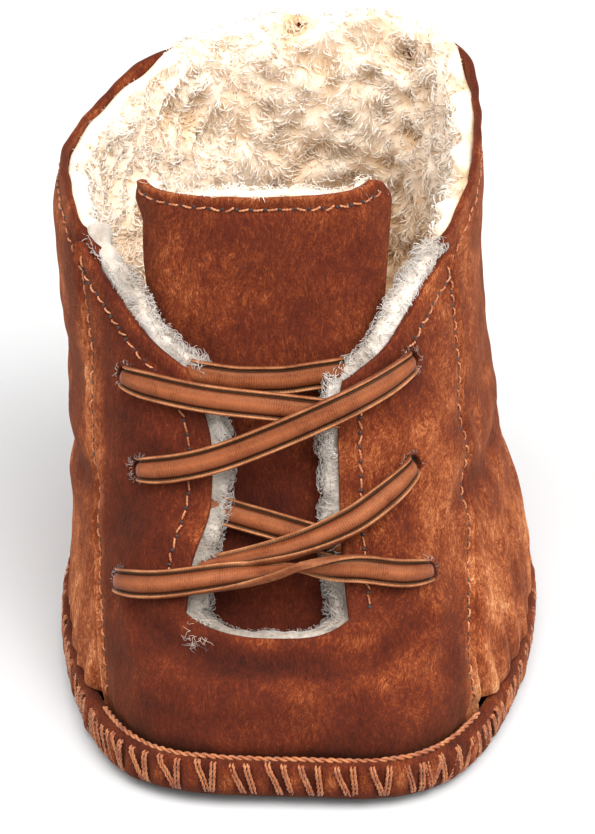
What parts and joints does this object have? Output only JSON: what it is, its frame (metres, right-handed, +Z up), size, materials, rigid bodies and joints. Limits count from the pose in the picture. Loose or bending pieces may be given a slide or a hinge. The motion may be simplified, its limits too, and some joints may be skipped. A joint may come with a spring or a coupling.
{
  "type": "baby boot",
  "caption": "Soft sheepskin baby boot for the left foot: hollow upper with an open collar and laced throat, tongue, insole and soft sole with an upturned edge.",
  "frame": {"origin": "on the floor under the middle of the boot's bounding box", "axes": "+Z up, -Y towards the toe, +X towards the little toe side"},
  "size_m": [0.0752, 0.114, 0.0807],
  "materials": {
    "suede": "napped suede, matt",
    "sole_suede": "napped suede, matt",
    "fleece": "curly wool pile",
    "elastic": "ribbed, satin",
    "thread": "twisted, satin"
  },
  "bodies": {
    "root": {"upper": "suede", "sole": "sole_suede", "insole": "fleece", "tongue": "suede", "lace_upper": "elastic", "lace_lower": "elastic"}
  },
  "joints": []
}
